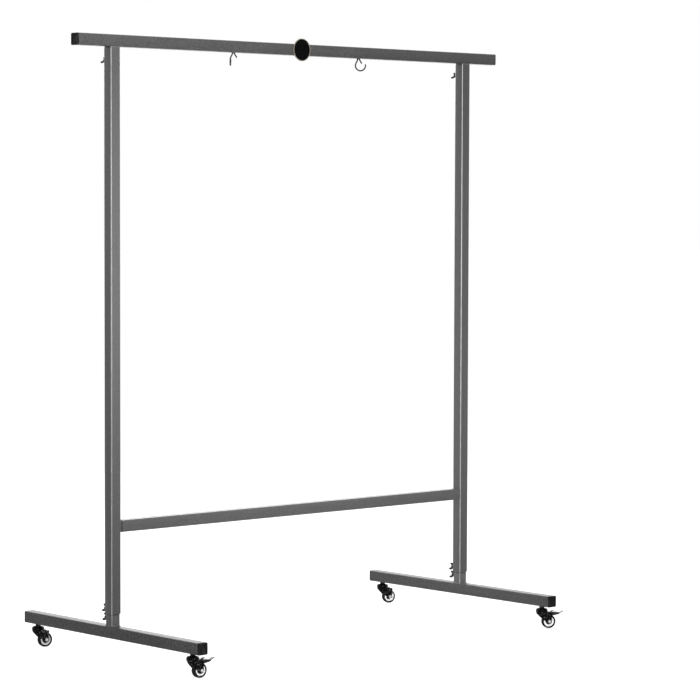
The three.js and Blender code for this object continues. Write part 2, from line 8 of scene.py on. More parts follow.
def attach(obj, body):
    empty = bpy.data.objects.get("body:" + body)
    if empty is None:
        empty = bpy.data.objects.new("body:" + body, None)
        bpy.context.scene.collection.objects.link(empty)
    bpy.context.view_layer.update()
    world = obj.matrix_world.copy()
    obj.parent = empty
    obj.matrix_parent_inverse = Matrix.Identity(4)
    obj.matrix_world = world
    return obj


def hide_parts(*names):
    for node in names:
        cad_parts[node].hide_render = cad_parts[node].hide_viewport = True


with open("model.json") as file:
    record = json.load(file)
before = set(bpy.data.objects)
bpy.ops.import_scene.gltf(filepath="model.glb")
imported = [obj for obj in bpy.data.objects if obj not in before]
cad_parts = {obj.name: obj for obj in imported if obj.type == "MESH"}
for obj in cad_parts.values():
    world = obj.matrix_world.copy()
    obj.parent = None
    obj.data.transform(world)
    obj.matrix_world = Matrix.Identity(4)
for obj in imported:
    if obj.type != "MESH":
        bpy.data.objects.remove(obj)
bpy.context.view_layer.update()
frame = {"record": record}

# Every shape below is built in millimetres and put into the scene in metres.
MM = 0.001
TAU = 2 * math.pi
scene = bpy.context.scene

# Main frame, as in the CAD model but with rounder corners
TUBE, WALL, CORNER = 40, 2, 4.5
POST_X = 813
SIDES = {"left": -1, "right": 1}
BAR_LENGTH, FOOT_LENGTH = 1934, 953
UNDERSIDE = 2052
LOWER_BAR_MIDDLE, LOWER_BAR_GAP = 457, 6
BAR_EASE, LOWER_BAR_EASE, FOOT_EASE, TUBE_EASE = 1, 0.6, 1, 0.35
POST_DRAWN_IN, DRAWN_IN_RISE = 1.3, 7.8

# Gap between seated pieces, and the tubes that slide or plug into others
SEAT_GAP, SLIDING_CLEARANCE = 0.3, 0.5
INNER_WALL, INNER_CORNER, LEG_CORNER = 2, 2.5, 4
LEG_SHOWN, LEG_IN_POST = 42, 300
TOP_SPIGOT, FOOT_SPIGOT, STUB = 100, 90, 60
FLANGE, CAP_CLEARANCE = 3, 0.3

# Wing bolts and their nuts
BOLT_RADIUS, NUT_HOLE, NUT_FLATS, NUT_HEIGHT = 4, 4.45, 13, 8
THREAD_SHOWN, HUB_HEIGHT = 6, 9
TOP_BOLT_DROP, POST_BOLT_RISE, LEG_BOLT_DROP = 42, 15.5, 14.5
TOP_WING_ANGLE, LOW_WING_ANGLE = -52, -70

# Hooks and badge
HOOK_X, HOOK_TURN = 291, -35
STRAND_OFFSET, WIRE_RADIUS, WIRE_HOLE = 2.7, 2.5, 2.9
RING_RADIUS, RING_DROP, RING_SHIFT = 18, 24.6, 7.7
RING_TURNS = {"left": 83, "right": 0}
BADGE_X = 4

# Casters
CASTER_INSET, TRAIL, WHEEL_RADIUS, WHEEL_TO_DISC = 52.5, 25, 25, 8
DISC_RADIUS, DISC_SHEET, STEM_HOLE = 21.5, 3, 5.4
FORK_OUTSIDE, FORK_INSIDE, FORK_SHEET = 14.2, 12, 2.2
BALL_RADIUS, BALL_CIRCLE, BALL_COUNT, CUP_SHEET = 2, 14.5, 19, 1.9
HEX_FLATS, HEX_LENGTH, STEM_RISE = 17, 13.9, 18
TREAD_INNER, RING_INNER = 18.7, 11.6
AXLE_RADIUS, AXLE_NUT_FLATS, AXLE_NUT_HEIGHT = 2.9, 10, 3.6
PIVOT_BACK, PIVOT_BELOW_DISC = 5.6, 7
LEVER_SHEET, LEVER_SIDE_GAP, LEVER_RAISED = 1.6, 0.5, 12
LEVER_LENGTH, LEVER_HEIGHT, LEVER_WEB_START = 34.6, 7.4, 4.2
HEADINGS = {"front_left": -5, "back_left": -12, "front_right": -30, "back_right": -20}

# Sizes that follow from those above
DISC_LOW = 2 * WHEEL_RADIUS + WHEEL_TO_DISC
DISC_TOP = DISC_LOW + DISC_SHEET
BALL_CENTRE = DISC_TOP + SEAT_GAP + BALL_RADIUS
CUP_CEILING = BALL_CENTRE + BALL_RADIUS + SEAT_GAP
CUP_FLOOR = CUP_CEILING + CUP_SHEET
HEX_BOTTOM = CUP_FLOOR + SEAT_GAP
FOOT_UNDERSIDE = HEX_BOTTOM + HEX_LENGTH + SEAT_GAP
FOOT_TOP = FOOT_UNDERSIDE + TUBE
POST_BOTTOM = FOOT_TOP + LEG_SHOWN
CASTER_Y = FOOT_LENGTH / 2 - CASTER_INSET
PIVOT_X, PIVOT_Z = TRAIL + PIVOT_BACK, DISC_LOW - PIVOT_BELOW_DISC
LEG_TUBE = TUBE - 2 * (WALL + SLIDING_CLEARANCE)
FOOT_SPIGOT_TUBE = LEG_TUBE - 2 * (INNER_WALL + SLIDING_CLEARANCE)
HUB_BASE = NUT_HEIGHT + THREAD_SHOWN
HUB_TOP = HUB_BASE + HUB_HEIGHT

# Camera: picture and focal length in pixels, sensor in millimetres, place in metres, turn in degrees
PICTURE, FOCAL, SENSOR = 700, 2801.99, 36
CAMERA_PLACE = (-6.48902, -7.42555, 1.54629)
YAW, PITCH, ROLL = 42.247, -3.055, 0.178


def add(name, data):
    ob = bpy.data.objects.new(name, data)
    scene.collection.objects.link(ob)
    return ob


# Camera
def make_camera():
    yaw, pitch, roll = (math.radians(turn) for turn in (YAW, PITCH, ROLL))
    forward = Vector((math.sin(yaw) * math.cos(pitch), math.cos(yaw) * math.cos(pitch), math.sin(pitch)))
    right = Vector((math.cos(yaw), -math.sin(yaw), 0))
    up = right.cross(forward)
    side = right * math.cos(roll) + up * math.sin(roll)
    top = up * math.cos(roll) - right * math.sin(roll)
    camera = bpy.data.cameras.new("camera")
    camera.sensor_width = SENSOR
    camera.lens = FOCAL / PICTURE * SENSOR
    camera.clip_start, camera.clip_end = 0.1, 200
    turn = Matrix((side, top, -forward)).transposed().to_4x4()
    scene.camera = add("camera", camera)
    scene.camera.matrix_world = Matrix.Translation(CAMERA_PLACE) @ turn


make_camera()


# Materials
def socket(node, name, value):
    node.inputs[name].default_value = value


class Graph:
    """A material's nodes, with short calls for the few that are used here."""

    def __init__(self, name):
        self.material = bpy.data.materials.new(name)
        self.material.use_nodes = True
        self.tree = self.material.node_tree
        self.shader = self.tree.nodes["Principled BSDF"]
        self.place = self.node("ShaderNodeTexCoord").outputs["Object"]

    def node(self, kind, **values):
        made = self.tree.nodes.new(kind)
        for key, value in values.items():
            setattr(made, key, value)
        return made

    def link(self, source, target):
        self.tree.links.new(source, target)

    def math(self, operation, first, second=None):
        """Arithmetic on one or two linked values."""
        made = self.node("ShaderNodeMath", operation=operation)
        self.link(first, made.inputs[0])
        if second:
            self.link(second, made.inputs[1])
        return made.outputs[0]

    def axes(self, vector):
        """A vector's three parts, by the name of their axis."""
        made = self.node("ShaderNodeSeparateXYZ")
        self.link(vector, made.inputs[0])
        return made.outputs

    def stretched(self, scale):
        """Object coordinates, scaled along each axis."""
        mapping = self.node("ShaderNodeMapping")
        mapping.inputs["Scale"].default_value = scale
        self.link(self.place, mapping.inputs["Vector"])
        return mapping.outputs["Vector"]

    def noise(self, scale, detail=3, rough=0.5, place=None):
        made = self.node("ShaderNodeTexNoise")
        self.link(place or self.place, made.inputs["Vector"])
        socket(made, "Scale", scale)
        socket(made, "Detail", detail)
        socket(made, "Roughness", rough)
        return made.outputs["Fac"]

    def cells(self, scale):
        made = self.node("ShaderNodeTexVoronoi")
        self.link(self.place, made.inputs["Vector"])
        socket(made, "Scale", scale)
        return made.outputs["Distance"]

    def spread(self, value, low, high, start=0.3, end=0.7):
        """A value's stretch from start to end, spread from low to high."""
        made = self.node("ShaderNodeMapRange")
        self.link(value, made.inputs["Value"])
        for key, number in (("From Min", start), ("From Max", end), ("To Min", low), ("To Max", high)):
            socket(made, key, number)
        return made.outputs["Result"]

    def ramp(self, value, *stops):
        made = self.node("ShaderNodeValToRGB")
        elements = made.color_ramp.elements
        while len(elements) < len(stops):
            elements.new(0.5)
        for element, (position, colour) in zip(elements, stops):
            element.position = position
            element.color = (*colour, 1)
        self.link(value, made.inputs["Fac"])
        return made.outputs["Color"]

    def tones(self, value, first, second, start=0.3, end=0.7):
        """From one colour to another as the value goes from start to end."""
        return self.ramp(value, (start, first), (end, second))

    def mix(self, share, first, second):
        made = self.node("ShaderNodeMix", data_type="RGBA")
        self.link(share, made.inputs["Factor"])
        self.link(first, made.inputs[6])
        self.link(second, made.inputs[7])
        return made.outputs[2]

    def bump(self, height, strength, distance, below=None):
        """A bump of a height in millimetres, laid over another one."""
        made = self.node("ShaderNodeBump")
        socket(made, "Strength", strength)
        socket(made, "Distance", distance * MM)
        self.link(height, made.inputs["Height"])
        if below:
            self.link(below, made.inputs["Normal"])
        return made.outputs["Normal"]

    def finish(self, colour, roughness, normal=None, metallic=0.0, **values):
        self.link(colour, self.shader.inputs["Base Color"])
        self.link(roughness, self.shader.inputs["Roughness"])
        if normal:
            self.link(normal, self.shader.inputs["Normal"])
        socket(self.shader, "Metallic", metallic)
        for key, value in values.items():
            socket(self.shader, key.replace("_", " "), value)
        return self.material


def grey(level, warm=0.0):
    """A nearly neutral colour from its 0 to 255 display level."""
    share = level / 255
    linear = share / 12.92 if share <= 0.04045 else ((share + 0.055) / 1.055) ** 2.4
    return linear * (1 + warm), linear, linear * (1 - warm)


def metal(level, cool=0.0):
    """A nearly neutral colour from its linear level, a little bluer where it is cool."""
    return level, level, level + cool


def rounded_edge(g):
    """0 where the surface faces along an axis, as a tube's faces do, and 1 on its rounded corners."""
    facing = g.axes(g.node("ShaderNodeTexCoord").outputs["Normal"])
    largest = g.math("ABSOLUTE", facing["X"])
    for axis in "YZ":
        largest = g.math("MAXIMUM", largest, g.math("ABSOLUTE", facing[axis]))
    return g.spread(largest, 1, 0, start=0.84, end=0.96)


def rubbed_patches(g, colour, level, share):
    """Long paler patches along a tube that slides in another."""
    lines = g.noise(60, detail=5, rough=0.7, place=g.stretched((9, 9, 0.7)))
    rubbed = g.spread(lines, 0, share, start=0.58, end=0.72)
    bright = g.tones(g.noise(90, detail=2), grey(level + 28), grey(level + 45))
    return g.mix(rubbed, colour, bright)


def painted_seam_shadow(g, colour, top):
    """A dark line of painted shade just under the height where another tube's end sits, standing for the
    shadow in the seam.
    """
    fade_in, full, fade_out = top - 5, top - 3, top + 2
    height = g.axes(g.place)["Z"]
    below = g.spread(height, 0, 1, start=fade_in * MM, end=full * MM)
    above = g.spread(height, 1, 0, start=top * MM, end=fade_out * MM)
    share = g.math("MULTIPLY", below, above)
    return g.mix(share, colour, g.tones(g.noise(300), grey(8), grey(22)))


def powder_coat(name, level, mottle=3, gloss=1.0, scuffed=0.0, seam_shadow_top=None, corner_highlight=0.0):
    """Dark grey powder coat: orange peel, drift and mottle of its tone, and a few rubbed patches.

    The seam-shadow height is where another tube's end sits; under it a dark line of painted shade stands for
    the shadow in the seam.
    The corner value is how bright the rounded corners are painted: a lighter, metallic tone that is a
    painted highlight.
    """
    g = Graph(name)
    deep = 3 * mottle
    drift = g.tones(g.noise(2.5), grey(level - 3), grey(level + 3, 0.01))
    speck = g.tones(g.noise(1600, detail=2), grey(level - 8), grey(level + 8, 0.01), start=0.35, end=0.65)
    patch = g.tones(g.noise(260, rough=0.6), grey(level - deep), grey(level + deep), start=0.32, end=0.68)
    colour = g.mix(g.spread(g.noise(90, detail=2), 0.4, 0.6), drift, speck)
    colour = g.mix(g.spread(g.noise(9, detail=2), 0.5, 1), colour, patch)
    if scuffed:
        colour = rubbed_patches(g, colour, level, scuffed)
    # Painted shade: a dark line under another tube's end stands for the shadow in the seam.
    if seam_shadow_top:
        colour = painted_seam_shadow(g, colour, seam_shadow_top)
    rough = g.spread(g.noise(35, detail=4, rough=0.6), 0.30, 0.38)
    peel = g.bump(g.noise(620, detail=2, rough=0.4), strength=0.05, distance=0.2)
    # Painted highlight: the rounded corners get a lighter, metallic tone that stands for the lamps'
    # reflection along them.
    if corner_highlight:
        edge = rounded_edge(g)
        corner_sheen = g.tones(g.noise(40), metal(corner_highlight * 0.85), metal(corner_highlight * 1.15))
        colour = g.mix(edge, colour, corner_sheen)
        g.link(edge, g.shader.inputs["Metallic"])
    return g.finish(colour, rough, peel, IOR=1.5, Specular_IOR_Level=0.5 * gloss, Coat_Weight=0.45 * gloss,
                    Coat_Roughness=0.25, Coat_IOR=1.5)


def moulded_plastic(name, level, rough=(0.38, 0.5), grain=900, specular=0.2, dusty=0):
    """Moulded plastic with a fine spark-eroded grain, faint flow marks and, if dusty, paler patches."""
    g = Graph(name)
    flow = g.noise(28, rough=0.55, place=g.stretched((1, 1, 3)))
    flow = g.tones(flow, grey(level - 3), grey(level + 4))
    dust = g.tones(g.noise(500, detail=2), grey(level - 2), grey(level + 6))
    colour = g.mix(g.spread(g.noise(140), 0.1, 0.6), flow, dust)
    if dusty:
        patches = g.tones(g.noise(320), grey(level + dusty / 2), grey(level + dusty))
        shares = g.spread(g.noise(62, detail=4, rough=0.6), 0, 1, start=0.44, end=0.62)
        colour = g.mix(shares, colour, patches)
    normal = g.bump(g.cells(grain), strength=0.18, distance=0.12)
    return g.finish(colour, g.spread(g.noise(70), *rough), normal, IOR=1.48, Specular_IOR_Level=specular)


def black_coat(name, level):
    """Thick black coat on cast wing bolts, with rounded lumps of the casting under it."""
    g = Graph(name)
    colour = g.tones(g.noise(300, detail=4, rough=0.6), grey(level - 3), grey(level + 7))
    cast = g.bump(g.noise(240), strength=0.3, distance=0.35)
    rough = g.spread(g.noise(180), 0.32, 0.5)
    pores = g.bump(g.noise(1500, detail=2), strength=0.1, distance=0.1, below=cast)
    return g.finish(colour, rough, pores, IOR=1.5, Specular_IOR_Level=0.3)


def plated_steel(name, dark, light, rough=(0.2, 0.36), drawn=(1, 1, 14), cloud=45, painted_glint=None):
    """Plated steel: clouded tone from the bath, fine rolling or drawing lines, and soft dents.

    A glint tone, if given, is painted on small spots as painted highlights on the plate.
    """
    g = Graph(name)
    glint_spots = ((0.58, light), (0.65, painted_glint)) if painted_glint else ()
    clouds = g.ramp(g.noise(cloud, detail=4, rough=0.6), (0.3, dark), (0.56, light), *glint_spots)
    lines = g.noise(260, rough=0.6, place=g.stretched(drawn))
    streaks = g.tones(lines, tuple(part * 0.82 for part in dark), light)
    colour = g.mix(g.spread(g.noise(20, detail=2), 0.2, 0.6), clouds, streaks)
    dents = g.bump(g.noise(85, detail=2, rough=0.4), strength=0.12, distance=0.3)
    normal = g.bump(lines, strength=0.08, distance=0.1, below=dents)
    return g.finish(colour, g.spread(g.noise(150), *rough), normal, metallic=1.0)


def rubber(name, level):
    """Dull tread rubber with a dusty bloom."""
    g = Graph(name)
    bloom = g.tones(g.noise(120, detail=5, rough=0.65), grey(level), grey(level + 12, 0.02), start=0.35)
    grit = g.bump(g.noise(1800, rough=0.6), strength=0.25, distance=0.12)
    return g.finish(bloom, g.spread(g.noise(60), 0.55, 0.75), grit, IOR=1.5, Specular_IOR_Level=0.15)


def enamel(name, level):
    """Glossy black enamel of the badge's bare face, with faint polishing swirls."""
    g = Graph(name)
    colour = g.tones(g.noise(90, detail=4), grey(level - 4), grey(level + 5, 0.03))
    lines = g.noise(700, detail=2, place=g.stretched((1, 1, 4)))
    swirl = g.bump(lines, strength=0.05, distance=0.06)
    return g.finish(colour, g.spread(g.noise(60), 0.16, 0.28), swirl, IOR=1.5, Specular_IOR_Level=0.03)


def weld_metal(name, level):
    """Weld bead under powder coat, over a rippled seam, coloured lighter than the coat as a painted
    highlight on its ripples.
    """
    g = Graph(name)
    colour = g.tones(g.noise(420, detail=4, rough=0.6), grey(level - 10), grey(level + 10))
    rough = g.spread(g.noise(200), 0.28, 0.42)
    return g.finish(colour, rough, g.bump(g.noise(900), strength=0.3, distance=0.25), IOR=1.5)


STEEL = powder_coat("powder_coat", 55, mottle=7)
# Posts: a painted highlight on the rounded corners.
POST_STEEL = powder_coat("powder_coat_post", 55, corner_highlight=0.42)
# Painted shade: the feet and the top bar have the posts' powder coat, painted darker for the lesser light on
# them.
FOOT_STEEL_SHADED = powder_coat("powder_coat_foot_shaded", 49, mottle=11, gloss=0.5)
BEAM_STEEL_SHADED = powder_coat("powder_coat_beam_shaded", 40, mottle=11)
# Legs: a painted highlight on the rounded corners, and a painted shade line under the post's end.
LEG_STEEL = powder_coat("powder_coat_rubbed", 74, gloss=0.7, scuffed=0.6, seam_shadow_top=POST_BOTTOM,
                        corner_highlight=0.38)
INNER_STEEL = powder_coat("powder_coat_inner", 45)
# Painted highlight: the weld beads are lighter than the coat on them, for the glints on their ripples.
WELD_HIGHLIT = weld_metal("weld_painted_highlight", 92)
CAP = moulded_plastic("cap_plastic", 9, rough=(0.3, 0.42), specular=0.1, dusty=34)
BOLT = black_coat("bolt_coat", 16)
# Painted reflection: the stems, forks, cups and levers are zinc plate, painted near black for its reflection
# of dark surroundings, with painted glints.
ZINC = plated_steel("zinc_plate_painted_dark", metal(0.002), metal(0.013, cool=0.001), rough=(0.14, 0.26), cloud=160,
                    painted_glint=metal(0.3, cool=0.01))
BRIGHT = plated_steel("bright_plate", metal(0.5, cool=0.01), metal(0.85, cool=0.01), rough=(0.16, 0.3),
                      cloud=160)
LEVER = plated_steel("lever_plate_painted_dark", metal(0.004), metal(0.04, cool=0.002), rough=(0.16, 0.3), cloud=200,
                     painted_glint=metal(0.6, cool=0.02))
CUP = plated_steel("cup_plate_painted_dark", metal(0.002), metal(0.009, cool=0.001), rough=(0.2, 0.34), cloud=160,
                   painted_glint=metal(0.16, cool=0.01))
WIRE = plated_steel("hook_wire", (0.02, 0.0195, 0.019), (0.055, 0.054, 0.052), rough=(0.34, 0.42),
                    drawn=(6, 6, 1))
BALL = plated_steel("ball_steel", metal(0.5), metal(0.65), rough=(0.1, 0.2))
BRASS = plated_steel("badge_rim", (0.30, 0.27, 0.22), (0.42, 0.38, 0.31), rough=(0.22, 0.34))
FACE = enamel("badge_enamel", 4)
# Painted highlight and shade: the hub's ring and web are one grey plastic, the ring painted near white for
# the light on it and the web near black for the shade under the fork.
RING_HIGHLIT = moulded_plastic("wheel_ring_painted_highlight", 234, rough=(0.25, 0.36), grain=1100, specular=0.5)
WEB_SHADED = moulded_plastic("wheel_web_painted_shade", 14, rough=(0.3, 0.4), grain=1100)
TREAD = rubber("tread_rubber", 8)


# Shapes: (points, faces) in millimetres
def bridge(first, second):
    """Faces between two loops of points, either of which may be a single point."""
    n = max(len(first), len(second))
    faces = []
    for i in range(n):
        j = (i + 1) % n
        if len(first) == 1:
            faces.append((first[0], second[j], second[i]))
        elif len(second) == 1:
            faces.append((first[i], first[j], second[0]))
        else:
            faces.append((first[i], first[j], second[j], second[i]))
    return faces


def loft(loops, closed=False, capped=False):
    """A skin over loops of points. It closes on itself, or gets a face at each end."""
    points, numbered = [], []
    for loop in loops:
        numbered.append(list(range(len(points), len(points) + len(loop))))
        points += [Vector(p) for p in loop]
    faces = []
    for first, second in zip(numbered, numbered[1:]):
        faces += bridge(first, second)
    if closed:
        faces += bridge(numbered[-1], numbered[0])
    if capped:
        faces += [tuple(reversed(numbered[0])), tuple(numbered[-1])]
    return points, faces


def polar(rings, sides=64):
    """Rings round Z. Each has a radius and a height, as numbers or as functions of the angle."""
    loops = []
    for radius, height in rings:
        if radius == 0:
            loops.append([(0, 0, height)])
            continue
        loop = []
        for i in range(sides):
            a = TAU * i / sides
            r = radius(a) if callable(radius) else radius
            z = height(a) if callable(height) else height
            loop.append((r * math.cos(a), r * math.sin(a), z))
        loops.append(loop)
    return loft(loops, closed=rings[0][0] != 0 and rings[-1][0] != 0)


def eased(points, radius, steps=4, closed=False):
    """A line of 2-D points with its corners rounded, except where it hardly turns."""
    most_share, least, least_turn = 0.45, 0.01, math.radians(8)
    out = []
    n = len(points)
    for i, p in enumerate(points):
        p = Vector(p)
        if not closed and i in (0, n - 1):
            out.append(tuple(p))
            continue
        before, after = Vector(points[i - 1]) - p, Vector(points[(i + 1) % n]) - p
        size = min(radius, most_share * before.length, most_share * after.length)
        if size < least or before.angle(-after, 0) < least_turn:
            out.append(tuple(p))
            continue
        start, end = p + before.normalized() * size, p + after.normalized() * size
        out += curve((start, p, end), steps)
    return out


def turned(profile, radius=0.4, sides=64, steps=3):
    """A turned piece with its corners rounded. A profile that is off the axis closes on itself."""
    hollow = profile[0][0] != 0 and profile[-1][0] != 0
    return polar(eased(profile, radius, steps, closed=hollow), sides)


def rod(radius, reach, sides=32):
    """A round rod along Z that reaches both ways."""
    return turned([(0, -reach), (radius, -reach), (radius, reach), (0, reach)], 0, sides)


def arc(cx, cy, radius, start, end, steps=16, ry=None):
    out = []
    for i in range(steps + 1):
        a = math.radians(start + (end - start) * i / steps)
        out.append((cx + radius * math.cos(a), cy + (ry or radius) * math.sin(a)))
    return out


def circle(radius, height, count):
    angles = [TAU * i / count for i in range(count)]
    return [(radius * math.cos(a), radius * math.sin(a), height) for a in angles]


def curve(points, steps):
    """A smooth curve from the first point to the last, pulled towards those between."""
    out = []
    for i in range(steps + 1):
        line = [Vector(p) for p in points]
        while len(line) > 1:
            line = [a.lerp(b, i / steps) for a, b in zip(line, line[1:])]
        out.append(tuple(line[0]))
    return out


def mirrored(half):
    """A profile's half above the middle, and the same half below it."""
    return half + [(r, -y) for r, y in reversed(half)]


def plate(outline, width):
    """An outline in X and Z made into a plate of a width along Y."""
    return loft([[(x, y, z) for x, z in outline] for y in (-width / 2, width / 2)], capped=True)


def upright(outline, low, high):
    """An outline in X and Y made into a block between two heights."""
    return loft([[(x, y, z) for x, y in outline] for z in (low, high)], capped=True)


def square(side, corner, height, steps=5):
    half = side / 2 - corner
    loop = []
    for k, (sx, sy) in enumerate(((1, 1), (-1, 1), (-1, -1), (1, -1))):
        loop += [(x, y, height) for x, y in arc(sx * half, sy * half, corner, 90 * k, 90 * k + 90, steps)]
    return loop


def tube(side, wall, corner, length, low=None, ease=TUBE_EASE, drawn_in=0):
    """A square tube along Z with eased ends, centred or standing on a height. Its top can be drawn in."""
    least_corner, mouth_ease, mouth_depth, steps = 0.8, 0.3, 0.4, 6
    bottom = -length / 2 if low is None else low
    top = bottom + length
    inside, inner = side - 2 * wall, max(corner - wall, least_corner)
    rings = [(side - 2 * ease, corner - ease, bottom), (side, corner, bottom + ease)]
    if drawn_in:
        for k in range(steps + 1):
            share = k / steps
            less = drawn_in * (1 - math.sqrt(1 - share ** 2))
            rings.append((side - 2 * less, corner, top - DRAWN_IN_RISE * (1 - share)))
    else:
        rings += [(side, corner, top - ease), (side - 2 * ease, corner - ease, top)]
    rings += [(inside + mouth_ease, inner, top), (inside, inner, top - mouth_depth)]
    rings += [(inside, inner, bottom + mouth_depth), (inside + mouth_ease, inner, bottom)]
    return loft([square(*ring) for ring in rings], closed=True)


def sweep(path, radius, sides=16, closed=False, radii=None):
    """A round bar along a path of 3-D points, with domed ends unless it is closed."""
    path = [Vector(p) for p in path]
    n = len(path)
    tangents = []
    for i in range(n):
        a = path[i - 1] if closed or i else path[0]
        b = path[(i + 1) % n] if closed or i < n - 1 else path[-1]
        tangents.append((b - a).normalized())
    normal = tangents[0].orthogonal().normalized()
    angles = [TAU * k / sides for k in range(sides)]
    loops = []
    for i, (p, t) in enumerate(zip(path, tangents)):
        normal = (normal - t * normal.dot(t)).normalized()
        other = t.cross(normal)
        r = radii[i] if radii else radius
        loops.append([p + (normal * math.cos(a) + other * math.sin(a)) * r for a in angles])
    if closed:
        return loft(loops, closed=True)

    def dome(p, t, ring, turns):
        return [[p + t * (radius * math.sin(a)) + (q - p) * math.cos(a) for q in ring] for a in turns]
    turns = [0.5, 1.0, 1.3]
    first = dome(path[0], -tangents[0], loops[0], turns[::-1])
    last = dome(path[-1], tangents[-1], loops[-1], turns)
    return loft(first + loops + last, capped=True)


def moved(shape, matrix):
    return [matrix @ Vector(p) for p in shape[0]], shape[1]


def merged(*shapes):
    points, faces = [], []
    for more, them in shapes:
        start = len(points)
        points += more
        faces += [tuple(start + i for i in f) for f in them]
    return points, faces


def mesh_of(name, shape, scale=1.0):
    """A mesh with its faces turned outwards and its doubled points joined."""
    closest = 0.0005
    mesh = bpy.data.meshes.new(name)
    mesh.from_pydata([tuple(Vector(p) * scale) for p in shape[0]], [], shape[1])
    bm = bmesh.new()
    bm.from_mesh(mesh)
    bmesh.ops.remove_doubles(bm, verts=bm.verts, dist=closest * scale)
    bmesh.ops.recalc_face_normals(bm, faces=bm.faces)
    bm.to_mesh(mesh)
    bm.free()
    return mesh


def reworked(shape, other=None, **settings):
    """A shape after one modifier: a Boolean with another shape, or a Bevel of its edges."""
    made = [add("work", mesh_of("work", s)) for s in (shape, other) if s]
    ob = made[0]
    modifier = ob.modifiers.new("work", "BOOLEAN" if other else "BEVEL")
    if other:
        modifier.object, modifier.solver = made[1], "EXACT"
    else:
        modifier.limit_method = "ANGLE"
    for key, value in settings.items():
        setattr(modifier, key, value)
    bpy.context.view_layer.update()
    result = bpy.data.meshes.new_from_object(ob.evaluated_get(bpy.context.evaluated_depsgraph_get()))
    shape = [v.co.copy() for v in result.vertices], [tuple(p.vertices) for p in result.polygons]
    bpy.data.meshes.remove(result)
    for o in made:
        old = o.data
        bpy.data.objects.remove(o)
        bpy.data.meshes.remove(old)
    return shape


def cut(shape, other):
    return reworked(shape, other, operation="DIFFERENCE")


def both(shape, other):
    return reworked(shape, other, operation="UNION")


def shared(shape, other):
    return reworked(shape, other, operation="INTERSECT")


def softened(shape, width, segments=2, angle=35):
    return reworked(shape, width=width, segments=segments, angle_limit=math.radians(angle))


# Placing
BODY_OF = {n: body for body, nodes in frame["record"]["behaviour"]["bodies"].items() for n in nodes}


def turn_about(axis, degrees):
    return Matrix.Rotation(math.radians(degrees), 4, axis)


def at(x, y, z):
    return Matrix.Translation((x, y, z))


# The first two lay along another axis what is built along Z
ALONG_X = turn_about("Y", 90)
ALONG_Y = turn_about("X", -90)
WIRE_TURN = turn_about("Z", HOOK_TURN)


def piece(name, node, shape, material, place=Matrix()):
    """A piece that rides with the node's body."""
    sharp = math.radians(32)
    mesh = mesh_of(name, moved(shape, place), MM)
    mesh.materials.append(material)
    mesh.polygons.foreach_set("use_smooth", [True] * len(mesh.polygons))
    mesh.set_sharp_from_angle(angle=sharp)
    ob = add(name, mesh)
    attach(ob, BODY_OF[node])
    return ob


def dress(node, shape, material, place=Matrix()):
    """A piece that stands for a CAD node."""
    ob = piece("look_" + node, node, shape, material, place)
    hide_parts(node)


# Small hardware
def hexagon(flats, height, hole, both_ends=True):
    """A six-sided nut on Z = 0 with turned chamfers and a round hole."""
    flat_share, chamfer, sides = 0.94, math.radians(30), 72
    rim = flats / 2 * flat_share

    def corner(a):
        within = (a % (TAU / 6)) - TAU / 12
        return flats / 2 / math.cos(within)

    def drop(a):
        return (corner(a) - rim) * math.tan(chamfer)

    def rise(a):
        return height - drop(a)
    base = [(rim, 0), (corner, drop)] if both_ends else [(corner, 0)]
    return polar([(hole, 0)] + base + [(corner, rise), (rim, height), (hole, height)], sides)


def thread(radius, low, high, pitch=1.25, depth=0.62, sides=28):
    """A threaded bar along Z with a real helix, closed at both ends."""
    per_turn = 6
    count = int((high - low) / pitch * per_turn)
    rings = [(0, low)]
    for i in range(count + 1):
        z = low + (high - low) * i / count

        def radius_at(a, z=z):
            phase = (z / pitch - a / TAU) % 1
            return radius - depth * (1 - abs(2 * phase - 1))
        rings.append((radius_at, z))
    rings.append((0, high))
    return polar(rings, sides)


def bead(path, radius):
    """A weld bead along a closed path, with the ripples that the arc leaves."""
    step, sides, pitch, drift_rate = 0.55, 10, 2.2, 0.37
    mean, ripple, drift = 0.86, 0.14, 0.05
    path = [Vector(p) for p in path]
    fine = []
    for a, b in zip(path, path[1:] + path[:1]):
        steps = max(1, round((b - a).length / step))
        fine += [a.lerp(b, k / steps) for k in range(steps)]
    travelled, radii = 0, []
    for i, p in enumerate(fine):
        travelled += (p - fine[i - 1]).length if i else 0
        wave = ripple * math.sin(TAU * travelled / pitch) + drift * math.sin(travelled * drift_rate)
        radii.append(radius * (mean + wave))
    return sweep(fine, radius, sides, closed=True, radii=radii)


def weld_nut(name, node, place):
    """A nut on a tube's face, sunk into its weld bead."""
    sink, bead_circle, bead_rise, bead_radius = 0.5, 7.4, 0.1, 1.1
    nut = hexagon(NUT_FLATS, NUT_HEIGHT + sink, NUT_HOLE, both_ends=False)
    piece(name, node, nut, STEEL, place @ at(0, 0, -sink))
    piece(name + "_weld", node, bead(circle(bead_circle, bead_rise, 40), bead_radius), WELD_HIGHLIT, place)


def wing_outline():
    """One wing of the bolt in X and height, out to its round lobe."""
    reach, rise, lobe, lobe_start, lobe_end, foot = 13.5, 11, 4, 8, 162, 2
    root, toe, toe_rise = 5.5, 1, 0.5
    inner, inner_drop, crotch, crotch_rise, crown_drop = 4.2, 1, 4.2, 0.5, 2
    x, y, bottom = reach - lobe, HUB_TOP + rise - lobe, HUB_BASE + foot
    outside = (root + toe, bottom), (reach, bottom + toe_rise), (reach, y)
    inside = (x - inner, y - inner_drop), (crotch, HUB_TOP + crotch_rise), (0, HUB_TOP - crown_drop)
    line = [(0, bottom), (root, bottom)] + curve(outside, 10)
    return line + arc(x, y, lobe, lobe_start, lobe_end, 12) + curve(inside, 8)


